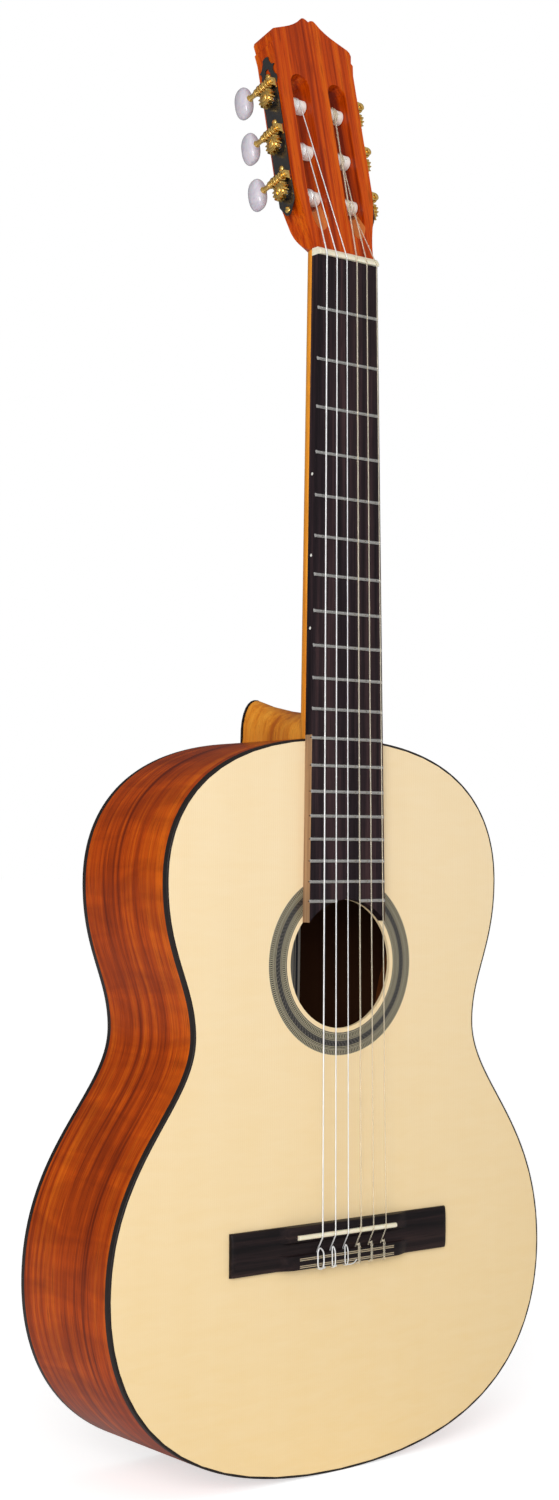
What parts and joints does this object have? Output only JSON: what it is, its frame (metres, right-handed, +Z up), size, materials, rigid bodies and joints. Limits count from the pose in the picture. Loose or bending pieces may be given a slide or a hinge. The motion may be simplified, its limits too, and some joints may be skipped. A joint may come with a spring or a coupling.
{
  "type": "classical guitar",
  "caption": "Classical guitar: hollow figure-eight body with round sound hole, heeled neck, fretted fingerboard, tie bridge and slotted head with turning worm-gear tuners.",
  "frame": {"origin": "middle of the nut's front edge on the plane of the soundboard's face", "axes": "+Z up along the neck towards the head, +Y from the soundboard to the back, +X towards the treble side"},
  "size_m": [0.368, 0.1166, 0.9892],
  "materials": {
    "spruce": "satin",
    "mahogany": "gloss",
    "black_binding": "gloss",
    "rosette": "satin",
    "rosewood": "satin",
    "bone": "satin",
    "trim": "satin",
    "neck_wood": "satin",
    "head_wood": "gloss",
    "nickel": "polished",
    "inner_wood": "raw",
    "label": "matte",
    "black_plate": "gloss",
    "gold_metal": "polished",
    "roller": "satin",
    "pearl_plastic": "pearl",
    "wound_string": "wound",
    "nylon_string": "clear"
  },
  "bodies": {
    "root": {"soundboard": "spruce", "back_plate": "mahogany", "bass_side": "mahogany", "treble_side": "mahogany", "top_binding": "black_binding", "back_binding": "black_binding", "rosette": "rosette", "bridge": "rosewood", "saddle": "bone", "tie_block_trim": "trim", "neck": "neck_wood", "headstock": "head_wood", "heel_cap": "black_binding", "fingerboard": "rosewood", "frets": "nickel", "nut": "bone", "side_dots": "trim", "neck_block": "inner_wood", "tail_block": "inner_wood", "top_lining": "inner_wood", "back_lining": "inner_wood", "cross_bars": "inner_wood", "fan_braces": "inner_wood", "back_braces": "inner_wood", "label": "label", "tuner_plate_bass": "black_plate", "tuner_plate_treble": "black_plate", "plate_screws": "gold_metal", "string_1": "wound_string", "string_2": "wound_string", "string_3": "wound_string", "string_4": "nylon_string", "string_5": "nylon_string", "string_6": "nylon_string"},
    "roller_set_1": {"roller_1": "roller", "worm_gear_1": "gold_metal"},
    "button_set_1": {"worm_shaft_1": "gold_metal", "tuner_button_1": "pearl_plastic"},
    "roller_set_2": {"roller_2": "roller", "worm_gear_2": "gold_metal"},
    "button_set_2": {"worm_shaft_2": "gold_metal", "tuner_button_2": "pearl_plastic"},
    "roller_set_3": {"roller_3": "roller", "worm_gear_3": "gold_metal"},
    "button_set_3": {"worm_shaft_3": "gold_metal", "tuner_button_3": "pearl_plastic"},
    "roller_set_4": {"roller_4": "roller", "worm_gear_4": "gold_metal"},
    "button_set_4": {"worm_shaft_4": "gold_metal", "tuner_button_4": "pearl_plastic"},
    "roller_set_5": {"roller_5": "roller", "worm_gear_5": "gold_metal"},
    "button_set_5": {"worm_shaft_5": "gold_metal", "tuner_button_5": "pearl_plastic"},
    "roller_set_6": {"roller_6": "roller", "worm_gear_6": "gold_metal"},
    "button_set_6": {"worm_shaft_6": "gold_metal", "tuner_button_6": "pearl_plastic"}
  },
  "joints": [
    {"name": "button_turn_1", "type": "hinge", "parent": "root", "child": "button_set_1", "pos_m": [-0.0399, 0.01886, 0.05456], "axis": [0, 0.9744, -0.225], "range_deg": [-1530, 450]},
    {"name": "roller_turn_1", "type": "hinge", "parent": "root", "child": "roller_set_1", "pos_m": [-0.017, 0.01677, 0.0455], "axis": [1, 0, 0], "range_deg": [-110, 33]},
    {"name": "button_turn_2", "type": "hinge", "parent": "root", "child": "button_set_2", "pos_m": [-0.0399, 0.02673, 0.08866], "axis": [0, 0.9744, -0.225], "range_deg": [-1530, 450]},
    {"name": "roller_turn_2", "type": "hinge", "parent": "root", "child": "roller_set_2", "pos_m": [-0.017, 0.02464, 0.0796], "axis": [1, 0, 0], "range_deg": [-110, 33]},
    {"name": "button_turn_3", "type": "hinge", "parent": "root", "child": "button_set_3", "pos_m": [-0.0399, 0.0346, 0.12276], "axis": [0, 0.9744, -0.225], "range_deg": [-1530, 450]},
    {"name": "roller_turn_3", "type": "hinge", "parent": "root", "child": "roller_set_3", "pos_m": [-0.017, 0.03251, 0.1137], "axis": [1, 0, 0], "range_deg": [-110, 33]},
    {"name": "button_turn_4", "type": "hinge", "parent": "root", "child": "button_set_4", "pos_m": [0.0399, 0.0346, 0.12276], "axis": [0, 0.9744, -0.225], "range_deg": [-1530, 450]},
    {"name": "roller_turn_4", "type": "hinge", "parent": "root", "child": "roller_set_4", "pos_m": [0.017, 0.03251, 0.1137], "axis": [1, 0, 0], "range_deg": [-110, 33]},
    {"name": "button_turn_5", "type": "hinge", "parent": "root", "child": "button_set_5", "pos_m": [0.0399, 0.02673, 0.08866], "axis": [0, 0.9744, -0.225], "range_deg": [-1530, 450]},
    {"name": "roller_turn_5", "type": "hinge", "parent": "root", "child": "roller_set_5", "pos_m": [0.017, 0.02464, 0.0796], "axis": [1, 0, 0], "range_deg": [-110, 33]},
    {"name": "button_turn_6", "type": "hinge", "parent": "root", "child": "button_set_6", "pos_m": [0.0399, 0.01886, 0.05456], "axis": [0, 0.9744, -0.225], "range_deg": [-1530, 450]},
    {"name": "roller_turn_6", "type": "hinge", "parent": "root", "child": "roller_set_6", "pos_m": [0.017, 0.01677, 0.0455], "axis": [1, 0, 0], "range_deg": [-110, 33]}
  ],
  "couplings": [
    {"joint": "roller_turn_1", "follows": "button_turn_1", "ratio": 0.071429},
    {"joint": "roller_turn_2", "follows": "button_turn_2", "ratio": 0.071429},
    {"joint": "roller_turn_3", "follows": "button_turn_3", "ratio": 0.071429},
    {"joint": "roller_turn_4", "follows": "button_turn_4", "ratio": 0.071429},
    {"joint": "roller_turn_5", "follows": "button_turn_5", "ratio": 0.071429},
    {"joint": "roller_turn_6", "follows": "button_turn_6", "ratio": 0.071429}
  ]
}
